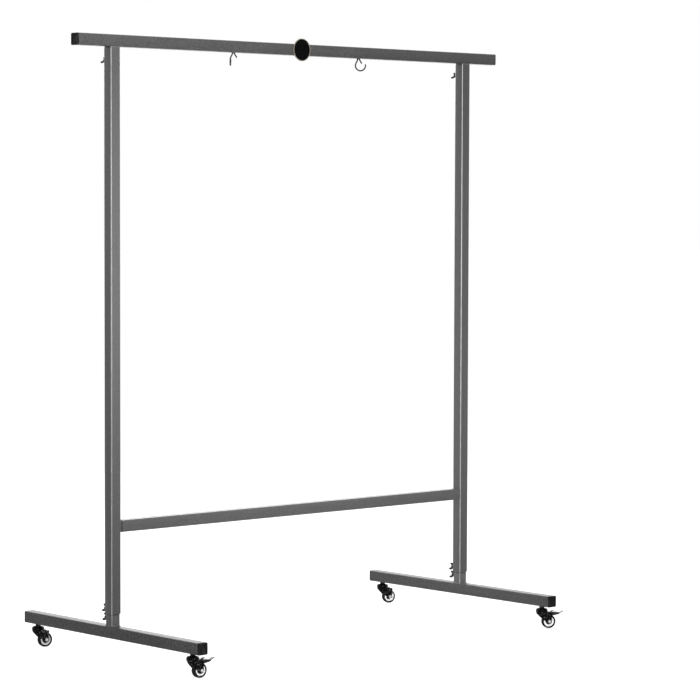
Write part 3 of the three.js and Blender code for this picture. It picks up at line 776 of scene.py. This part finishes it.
def wing_bolt():
    """Threaded shank, turned hub and two cast wings, along +Z from the tube's face."""
    shank_low, shank_high = -2.2, HUB_BASE + 1.5
    radius, base_radius, crown_radius = 6, 5.4, 4.7
    base_rise, waist_rise, crown, hub_ease = 1, 5, 0.2, 0.8
    thickness, wing_ease = 3.2, 0.9
    shank = thread(BOLT_RADIUS, shank_low, shank_high)
    profile = [(0, HUB_BASE), (base_radius, HUB_BASE), (radius, HUB_BASE + base_rise),
               (radius, HUB_BASE + waist_rise), (crown_radius, HUB_TOP), (0, HUB_TOP + crown)]
    hub = turned(profile, hub_ease, 40)
    outline = wing_outline()
    for side in (1, -1):
        wing = plate([(side * x, z) for x, z in outline], thickness)
        hub = both(hub, softened(wing, wing_ease, 3))
    return merged(shank, hub)


BOLT_SHAPE = wing_bolt()


def fit_bolt(name, carrier, x, y, z, angle):
    """A wing bolt on a tube's back face, in a nut that is welded to the tube."""
    weld_nut("nut_" + name, carrier, at(x, y, z) @ ALONG_Y)
    dress("wing_bolt_" + name, BOLT_SHAPE, BOLT, at(x, y, z) @ turn_about("Y", angle) @ ALONG_Y)


# Tubes
def cap_shape():
    """A moulded cap along +Z: bevelled flange with a shallow panel, and a hollow plug."""
    plug, plug_corner, plug_depth, plug_root = TUBE - 2 * (WALL + CAP_CLEARANCE), 1.6, 14, 0.2
    wall, hollow_corner, hollow_top, overrun = 1.6, 0.8, 1, 1
    back_edge, back_rise = 0.8, 0.7
    front_edge, front_corner, bevel, bevel_corner = 1.1, 1, 0.35, 0.3
    rim, rim_corner, panel, panel_corner, panel_sink = 3.2, 2, 4, 1.8, 0.45
    crown, crown_corner, crown_sink = 6, 1.5, 0.3
    rings = [
        (plug, plug_corner, -plug_depth),
        (plug, plug_corner, -plug_root),
        (TUBE - 2 * back_edge, CORNER - back_edge, 0),
        (TUBE, CORNER, back_rise),
        (TUBE, CORNER, FLANGE - front_edge),
        (TUBE - 2 * bevel, CORNER - bevel_corner, FLANGE - bevel),
        (TUBE - 2 * front_edge, CORNER - front_corner, FLANGE),
        (TUBE - 2 * rim, rim_corner, FLANGE),
        (TUBE - 2 * panel, panel_corner, FLANGE - panel_sink),
        (crown, crown_corner, FLANGE - crown_sink),
    ]
    outer = loft([square(*r) for r in rings], capped=True)
    ends = (-plug_depth - overrun, -hollow_top)
    hollow = loft([square(plug - 2 * wall, hollow_corner, z) for z in ends], capped=True)
    return cut(outer, hollow)


CAP_SHAPE = cap_shape()


def hook_path(ring_turn):
    """The hook's centre line: short end, up and over inside the bar, down and round the ring.

    From its lowest straight place on, the ring is turned about the upright line through that place.
    """
    half, bend_rise, neck, lead = STRAND_OFFSET, 1.6, 1.5, 6
    end_reach, end_drop, end_pull = 11.5, 15.5, 2.5
    inside_start, inside_rise = 1, 0.5
    ring_start, ring_end = 165, 371
    sine = math.sin(math.radians(ring_start))
    start_x = RING_SHIFT + RING_RADIUS * math.cos(math.radians(ring_start))
    start_z = RING_RADIUS * sine - RING_DROP
    line = curve(((end_reach, -end_drop), (half + end_pull, -neck - lead / 2), (half, -neck)), 14)
    line += [(half, -inside_start), (half, inside_rise)] + arc(0, bend_rise, half, 0, 180, 18)
    line += [(-half, 0), (-half, -neck)]
    pull_x = start_x + lead * sine * (1 - sine)
    line += curve(((-half, -neck), (-half, -neck - lead), (pull_x, start_z + lead), (start_x, start_z)), 16)
    line += arc(RING_SHIFT, -RING_DROP, RING_RADIUS, ring_start, ring_end, 54)[1:]
    pivot = RING_SHIFT - RING_RADIUS
    turn_start = next(i for i, (x, z) in enumerate(line) if z < -RING_DROP)
    c, s = math.cos(math.radians(ring_turn)), math.sin(math.radians(ring_turn))
    path = [(x, 0, z) for x, z in line[:turn_start]]
    return path + [(pivot + (x - pivot) * c, (x - pivot) * s, z) for x, z in line[turn_start:]]


def build_bars():
    bar = moved(tube(TUBE, WALL, CORNER, BAR_LENGTH - 2 * FLANGE, ease=BAR_EASE), ALONG_X)
    for x in (-HOOK_X, HOOK_X):
        for strand in (-STRAND_OFFSET, STRAND_OFFSET):
            beside = Matrix.Translation(WIRE_TURN @ Vector((strand, 0, 0)))
            bar = cut(bar, moved(rod(WIRE_HOLE, WALL), at(x, 0, (WALL - TUBE) / 2) @ beside))
    dress("top_crossbar", bar, BEAM_STEEL_SHADED, at(0, 0, UNDERSIDE + TUBE / 2))
    length = 2 * POST_X - TUBE - LOWER_BAR_GAP
    lower = moved(tube(TUBE, WALL, CORNER, length, ease=LOWER_BAR_EASE), ALONG_X)
    dress("lower_crossbar", lower, STEEL, at(LOWER_BAR_GAP / 2, 0, LOWER_BAR_MIDDLE))


def build_bar_end(name, side):
    """One end of the top bar: its cap, its hook, and its spigot in the post."""
    spot = at(side * (BAR_LENGTH / 2 - FLANGE), 0, UNDERSIDE + TUBE / 2)
    dress("crossbar_cap_" + name, CAP_SHAPE, CAP, spot @ turn_about("Y", 90 * side))
    spigot = tube(LEG_TUBE, INNER_WALL, INNER_CORNER, TOP_SPIGOT)
    dress("top_spigot_" + name, spigot, LEG_STEEL, at(side * POST_X, 0, UNDERSIDE - TOP_SPIGOT / 2))
    hook = sweep(hook_path(RING_TURNS[name]), WIRE_RADIUS, 20)
    dress("gong_hook_" + name, hook, WIRE, at(side * HOOK_X, 0, UNDERSIDE) @ WIRE_TURN)


def build_post(name, side):
    """A post, its stub in the lower bar, and the leg tube that slides in it."""
    weld_side, weld_corner, weld_rise, weld_radius = LEG_TUBE + 1, 3, 0.6, 1.6
    spot = at(side * POST_X, 0, 0)
    post = tube(TUBE, WALL, CORNER, UNDERSIDE - POST_BOTTOM, POST_BOTTOM, drawn_in=POST_DRAWN_IN)
    dress("post_" + name, post, POST_STEEL, spot)
    stub = moved(tube(LEG_TUBE, INNER_WALL, INNER_CORNER, STUB), ALONG_X)
    stub_x = POST_X - (TUBE + STUB) / 2
    dress("crossbar_stub_" + name, stub, INNER_STEEL, at(side * stub_x, 0, LOWER_BAR_MIDDLE))
    leg = tube(LEG_TUBE, INNER_WALL, LEG_CORNER, LEG_SHOWN + LEG_IN_POST, FOOT_TOP)
    dress("leg_tube_" + name, leg, LEG_STEEL, spot)
    weld = bead(square(weld_side, weld_corner, FOOT_TOP + weld_rise, 4), weld_radius)
    piece("leg_weld_" + name, "leg_tube_" + name, weld, WELD_HIGHLIT, spot)


def build_foot(name, side):
    """A foot with its spigot and caps. Its tube lies along Y."""
    x, z = side * POST_X, FOOT_TOP - TUBE / 2
    spigot = tube(FOOT_SPIGOT_TUBE, INNER_WALL, INNER_CORNER, FOOT_SPIGOT, FOOT_TOP)
    dress("foot_spigot_" + name, spigot, LEG_STEEL, at(x, 0, 0))
    foot = moved(tube(TUBE, WALL, CORNER, FOOT_LENGTH - 2 * FLANGE, ease=FOOT_EASE), ALONG_Y)
    dress("foot_bar_" + name, foot, FOOT_STEEL_SHADED, at(x, 0, z))
    for end, place in ((-1, "front_"), (1, "back_")):
        spot = at(x, end * (FOOT_LENGTH / 2 - FLANGE), z)
        dress("foot_cap_" + place + name, CAP_SHAPE, CAP, spot @ turn_about("X", -90 * end))


def fit_bolts(name, side):
    x, face = side * POST_X, TUBE / 2
    fit_bolt("top_" + name, "post_" + name, x, face, UNDERSIDE - TOP_BOLT_DROP, TOP_WING_ANGLE)
    fit_bolt("post_" + name, "post_" + name, x, face, POST_BOTTOM + POST_BOLT_RISE, LOW_WING_ANGLE)
    fit_bolt("leg_" + name, "leg_tube_" + name, x, LEG_TUBE / 2, POST_BOTTOM - LEG_BOLT_DROP, LOW_WING_ANGLE)


def build_badge():
    """A turned rim with a bare black face in it, on the front of the top bar."""
    radius, thickness, bore, lip_in, lip_out, side_edge = 39.6, 3, 36.4, 0.6, 0.8, 1
    ledge, ledge_rise, bore_edge = 34, 0.6, 0.8
    face_radius, face_back, face_front, face_slope, face_edge = 36.2, 0.1, 2.2, 1.6, 0.3
    rim = turned([(bore, -ledge_rise), (bore, bore_edge - thickness), (bore + lip_in, -thickness),
                  (radius - lip_out, -thickness), (radius, side_edge - thickness), (radius, 0), (ledge, 0),
                  (ledge, -ledge_rise)], 0.8, 120, 4)
    face = turned([(0, -face_back), (face_radius, -face_back), (face_radius, face_edge - face_front),
                   (face_radius - face_slope, -face_front), (0, -face_front)], 0.3, 120)
    spot = at(BADGE_X, -TUBE / 2, UNDERSIDE + TUBE / 2) @ ALONG_Y
    dress("round_badge", face, FACE, spot)
    piece("badge_rim", "round_badge", rim, BRASS, spot)


# Casters, round the swivel axis, wheel towards +X
def fork_side():
    """The fork's outline in X and Z: nose, round cheek end at the axle, waist and back."""
    front, shoulder, disc_middle = -22.2, DISC_LOW - 1, DISC_LOW + DISC_SHEET / 2
    cheek, cheek_rise, waist, waist_start, waist_end = 9, 1, 8.6, 12, 13
    waist_pull, back, back_drop = 19, 11, 9.2
    reach = math.hypot(TRAIL - front, WHEEL_RADIUS - shoulder)
    slope = math.atan2(WHEEL_RADIUS - shoulder, TRAIL - front) - math.asin(cheek / reach)
    side = [(front, disc_middle), (front, shoulder)]
    side += arc(TRAIL, WHEEL_RADIUS, cheek, math.degrees(slope) - 90, 0, 16)
    waist_x, back_x = TRAIL + waist, TRAIL + back
    start_z, end_z, pull_z = (WHEEL_RADIUS + rise for rise in (waist_start, waist_end, waist_pull))
    side += curve(((TRAIL + cheek, WHEEL_RADIUS + cheek_rise), (waist_x, start_z), (waist_x, end_z)), 5)[1:]
    side += curve(((waist_x, end_z), (waist_x, pull_z), (back_x, DISC_LOW - back_drop)), 8)[1:]
    return side + [(back_x, shoulder), (DISC_RADIUS, disc_middle)]


def fork_shape(braked):
    back, straight, nose, overrun = 37, 20, 41.2, 30
    plan_low, axle_hole, axle_reach = 10, 3.3, 20
    disc_edge, edge_drop, fork_ease = 0.8, 0.8, 0.45
    plan = [(back, -FORK_OUTSIDE)] + arc(straight, 0, nose, 270, 90, 40, FORK_OUTSIDE)
    plan += [(back, FORK_OUTSIDE), (back, FORK_INSIDE)]
    plan += arc(straight, 0, nose - FORK_SHEET, 90, 270, 40, FORK_INSIDE) + [(back, -FORK_INSIDE)]
    shell = shared(upright(plan, plan_low, DISC_TOP), plate(fork_side(), 2 * overrun))
    disc = turned([(STEM_HOLE, DISC_LOW), (DISC_RADIUS, DISC_LOW), (DISC_RADIUS, DISC_TOP - edge_drop),
                   (DISC_RADIUS - disc_edge, DISC_TOP), (STEM_HOLE, DISC_TOP)], 0.3, 96)
    hole = moved(rod(axle_hole, axle_reach), at(TRAIL, 0, WHEEL_RADIUS) @ turn_about("X", 90))
    body = softened(cut(both(shell, disc), hole), fork_ease, 2)
    return merged(body, *rivet_shapes()) if braked else body


def rivet_shapes():
    """The two riveted pins that the brake lever turns on."""
    pin, pin_length, head, head_start, head_edge = 2.2, 4.6, 3.2, 4.7, 5.2
    dome, dome_start, length = 2, 5.9, 6
    start = FORK_INSIDE - LEVER_SIDE_GAP - LEVER_SHEET
    rivet = turned([(0, 0), (pin, 0), (pin, pin_length), (head, head_start), (head, head_edge),
                    (dome, dome_start), (0, length)], 0.3, 32)
    return [moved(rivet, at(PIVOT_X, s * start, PIVOT_Z) @ turn_about("X", -90 * s)) for s in (-1, 1)]


def lever_channel():
    """The lever's channel: round eye, cheeks that taper to the tip, and a web along the top."""
    sheet, start, length, height = LEVER_SHEET, LEVER_WEB_START, LEVER_LENGTH, LEVER_HEIGHT
    width, hole, drill_reach, eye, overrun = 2 * (FORK_INSIDE - LEVER_SIDE_GAP), 2.65, 20, 5.2, 14
    tip_sink, lower_edge, belly_x, belly = 2, 6, 14, 6.1
    outline = curve(((start, height), (length / 2, height - sheet), (length, -tip_sink)), 14)
    outline += [(length - 2 * sheet, -lower_edge), (belly_x, -belly), (0, -eye)]
    outline += arc(0, 0, eye, 270, 90, 14)[1:]
    under = (start, height - sheet), (length / 2, height - 2 * sheet), (length, -tip_sink - sheet)
    hollow = [(start, overrun)] + curve(under, 14)
    hollow += [(length, -overrun), (-overrun, -overrun), (-overrun, overrun)]
    body = cut(plate(outline, width), plate(hollow, width - 2 * sheet))
    return cut(body, moved(rod(hole, drill_reach, 24), turn_about("X", 90)))


def lever_shape():
    """The brake lever, drawn from its pivot: channel, foot tab, raised lip and shoe."""
    sheet = LEVER_SHEET
    tab_width, lip_width, shoe_width, edge = 14, 12, 14, 0.35
    root, dip, tip = LEVER_LENGTH - 2 * sheet, LEVER_LENGTH + sheet, LEVER_LENGTH + 17
    root_top, root_low, dip_top, dip_low, tip_top, tip_low = -0.8, -2.8, -2.4, -4.1, 0.8, -0.9
    tab = [(root, root_top), (root, root_low), (dip, dip_low), (tip, tip_low), (tip, tip_top)]
    tab += [(dip, dip_top)]
    front = LEVER_WEB_START + sheet
    back, end = front + sheet, front + 11
    foot, crook, under, over, crest = (LEVER_HEIGHT + rise for rise in (-1.8, 2, 2.8, 4.3, 3.6))
    lip = [(front, foot), (back, foot), (back, crook), (end, under), (end, over), (front, crest)]
    shoe, low, high = 7.8, -4.2, LEVER_HEIGHT - sheet
    block = [(shoe, low), (shoe + sheet, low), (shoe + sheet, high), (shoe, high)]
    body = both(lever_channel(), plate(eased(tab, 0.7, 2, closed=True), tab_width))
    body = both(body, plate(eased(lip, 0.8, 2, closed=True), lip_width))
    return softened(both(body, plate(block, shoe_width)), edge, 2)


def wheel_shapes():
    """The wheel's ring, web and tread, turned about the axle. Ring and web are one grey plastic; the ring is
    painted near white as a painted highlight and the web near black as painted shade.
    """
    bore, boss, boss_reach, fillet, fillet_rise = 3.35, 6.5, FORK_INSIDE - SEAT_GAP, 1.1, 1.6
    web_half, ring_outer = 6, TREAD_INNER - SEAT_GAP
    web = [(bore, boss_reach), (boss, boss_reach), (boss, web_half + fillet_rise), (boss + fillet, web_half)]
    web += [(RING_INNER, web_half)]
    step, step_half, flat, flat_half, crest, crest_half, ring_half = 12.4, 7.6, 13.6, 8.1, 16.4, 8.3, 8
    ring = [(RING_INNER, web_half), (step, step_half), (flat, flat_half), (crest, crest_half),
            (ring_outer, ring_half)]
    tread_half, side, side_half, shoulder, shoulder_half, edge_half = 8.4, 22.8, 8.9, 24.3, 8.2, 6.6
    seam_depth, seam_half, outer = 0.3, 0.35, WHEEL_RADIUS
    tread = [(TREAD_INNER, tread_half), (side, side_half), (shoulder, shoulder_half), (outer, edge_half),
             (outer, seam_half)]
    whole = [(r, -y) for r, y in tread] + [(outer - seam_depth, 0)] + tread[::-1]
    return turned(mirrored(ring), 0.5, 96), turned(mirrored(web), 0.5, 96), turned(whole, 0.6, 96)


def axle_shape():
    end, end_radius, taper, nut_hole = 0.9, 1.8, 0.7, 2.7
    seat = FORK_OUTSIDE + SEAT_GAP
    reach = seat + AXLE_NUT_HEIGHT + end
    half = [(0, reach), (end_radius, reach), (AXLE_RADIUS, reach - taper)]
    shaft = turned([(r, -y) for r, y in half] + half[::-1], 0.4, 32)
    nut = hexagon(AXLE_NUT_FLATS, AXLE_NUT_HEIGHT, nut_hole)
    return merged(shaft, *(moved(nut, at(0, 0, z)) for z in (-seat - AXLE_NUT_HEIGHT, seat)))


def stem_shape():
    """Riveted head under the fork's disc, threaded shaft up into the foot, and hexagon."""
    head, head_inner, head_height, head_taper = 9, 6, 3, 1.3
    radius, pitch, depth, hex_hole = 5, 1.5, 0.7, 4.2
    head_top = DISC_LOW - SEAT_GAP
    low = head_top - head_height
    profile = [(0, low), (head_inner, low), (head, low + head_taper), (head, head_top), (0, head_top)]
    rivet = turned(profile, 0.6)
    shaft = thread(radius, DISC_LOW - 1, FOOT_UNDERSIDE + STEM_RISE, pitch, depth, 32)
    hexa = moved(hexagon(HEX_FLATS, HEX_LENGTH, hex_hole), at(0, 0, HEX_BOTTOM))
    return merged(rivet, shaft, hexa)


def cup_shape():
    """The pressed head: flat floor, raised round rim, and a skirt round the balls."""
    skirt, skirt_gap, band, rim_height, rim_width, rim_drop = 2.9, 1, 4.5, 4.5, 3.5, 0.95
    skirt_low, rim_top = DISC_TOP + skirt_gap, CUP_FLOOR + rim_height
    outer, crest, inner = DISC_RADIUS, DISC_RADIUS - rim_width, DISC_RADIUS - 2 * rim_width
    slope, half = rim_top - rim_drop, rim_width / 2
    profile = [(STEM_HOLE, CUP_CEILING), (outer - skirt, CUP_CEILING), (outer - skirt, skirt_low),
               (outer, skirt_low), (outer, skirt_low + band), (crest + half, slope), (crest, rim_top),
               (crest - half, slope), (inner, CUP_FLOOR), (STEM_HOLE, CUP_FLOOR)]
    return turned(profile, 0.9, 96, 4)


def ball_shapes():
    profile = [(0, -BALL_RADIUS)] + arc(0, 0, BALL_RADIUS, -70, 70, 7) + [(0, BALL_RADIUS)]
    ball = polar(profile, 16)
    return merged(*(moved(ball, at(*spot)) for spot in circle(BALL_CIRCLE, BALL_CENTRE, BALL_COUNT)))


def build_casters():
    forks = {braked: fork_shape(braked) for braked in (False, True)}
    lever, (ring, web, tread) = lever_shape(), wheel_shapes()
    axle, stem, cup, balls = axle_shape(), stem_shape(), cup_shape(), ball_shapes()
    for name, heading in HEADINGS.items():
        end, side = name.split("_")
        braked = end == "front"
        spot = at(SIDES[side] * POST_X, -CASTER_Y if braked else CASTER_Y, 0)
        swivel = spot @ turn_about("Z", heading)
        wheel = swivel @ at(TRAIL, 0, WHEEL_RADIUS) @ turn_about("X", 90)
        dress("caster_stem_" + name, stem, ZINC, spot)
        dress("caster_cup_" + name, cup, CUP, spot)
        dress("caster_balls_" + name, balls, BALL, swivel)
        dress("caster_fork_" + name, forks[braked], ZINC, swivel)
        dress("caster_axle_" + name, axle, BRIGHT, wheel)
        dress("wheel_hub_" + name, ring, RING_HIGHLIT, wheel)
        piece("wheel_web_" + name, "wheel_hub_" + name, web, WEB_SHADED, wheel)
        dress("wheel_tread_" + name, tread, TREAD, wheel)
        if braked:
            raised = at(PIVOT_X, 0, PIVOT_Z) @ turn_about("Y", -LEVER_RAISED)
            dress("brake_lever_" + name, lever, LEVER, swivel @ raised)


# Room and light
def build_room():
    """A plain pale floor that the camera sees as nearly white."""
    half, seen, mirrored_glow = 60, 0.76, 0.3
    floor = bpy.data.meshes.new("floor")
    corners = [(-half, -half, 0), (half, -half, 0), (half, half, 0), (-half, half, 0)]
    floor.from_pydata(corners, [], [(0, 1, 2, 3)])
    g = Graph("floor_paint")
    tone = g.tones(g.noise(0.6, detail=2), metal(0.56), metal(0.58))
    g.finish(tone, g.spread(g.noise(4, detail=2), 0.85, 0.95), Specular_IOR_Level=0.1)
    glow = g.node("ShaderNodeEmission")
    path = g.node("ShaderNodeLightPath")
    level = g.node("ShaderNodeMath", operation="MULTIPLY_ADD")
    g.link(path.outputs["Is Camera Ray"], level.inputs[0])
    socket(level, 1, seen)
    g.link(g.spread(path.outputs["Is Glossy Ray"], 0, mirrored_glow, start=0, end=1), level.inputs[2])
    g.link(level.outputs[0], glow.inputs["Strength"])
    total = g.node("ShaderNodeAddShader")
    g.link(g.shader.outputs[0], total.inputs[0])
    g.link(glow.outputs[0], total.inputs[1])
    g.link(total.outputs[0], g.tree.nodes["Material Output"].inputs["Surface"])
    floor.materials.append(g.material)
    add("floor", floor)


def build_world():
    """White to the camera and in reflections, and dimmer as light on matt surfaces."""
    as_light, as_seen = 0.4, 1.0
    world = bpy.data.worlds.new("world")
    scene.world = world
    world.use_nodes = True
    nodes, link = world.node_tree.nodes, world.node_tree.links.new
    background, path = nodes["Background"], nodes.new("ShaderNodeLightPath")
    seen, level = nodes.new("ShaderNodeMath"), nodes.new("ShaderNodeMapRange")
    seen.operation = "MAXIMUM"
    link(path.outputs["Is Camera Ray"], seen.inputs[0])
    link(path.outputs["Is Glossy Ray"], seen.inputs[1])
    link(seen.outputs[0], level.inputs["Value"])
    link(level.outputs["Result"], background.inputs["Strength"])
    socket(level, "To Min", as_light)
    socket(level, "To Max", as_seen)
    socket(background, "Color", (1, 1, 1, 1))


def lamp(name, place, target, size, power, spread=180, matt=True, gloss=True):
    """A softbox that the camera doesn't see, for matt light, for reflections or for both."""
    light = bpy.data.lights.new(name, "AREA")
    light.shape, light.size, light.size_y, light.energy = "RECTANGLE", size[0], size[1], power
    light.spread = math.radians(spread)
    ob = add(name, light)
    ob.location = place
    ob.rotation_euler = (Vector(target) - Vector(place)).to_track_quat("-Z", "Y").to_euler()
    ob.visible_camera = False
    ob.visible_diffuse = matt
    ob.visible_glossy = gloss


build_bars()
for name, side in SIDES.items():
    build_bar_end(name, side)
    build_post(name, side)
    build_foot(name, side)
    fit_bolts(name, side)
build_badge()
build_casters()
build_room()
build_world()

# Lamps, in metres and watts. The key and the fill stay out of reflections, and the glint is only in them.
lamp("key", (-1.25, -2.3, 1.4), (-0.87, 0, 1.36), size=(1.4, 0.8), power=37, spread=70, gloss=False)
lamp("fill", (-2.8, -2.8, 0.8), (0.8, 0, 0.75), size=(0.5, 1.8), power=17.5, spread=31, gloss=False)
lamp("back", (4.0, 4.4, 1.0), (0, 0, 0.2), size=(5.0, 1.6), power=18)
lamp("top", (1.4, 3.0, 2.5), (0.3, 0, 0.1), size=(4.4, 1.4), power=72)
lamp("glint", (-1.3, -3.0, 1.4), (-0.4, 0, 1.3), size=(1.2, 1.6), power=28, matt=False)

scene.view_settings.view_transform = "Standard"
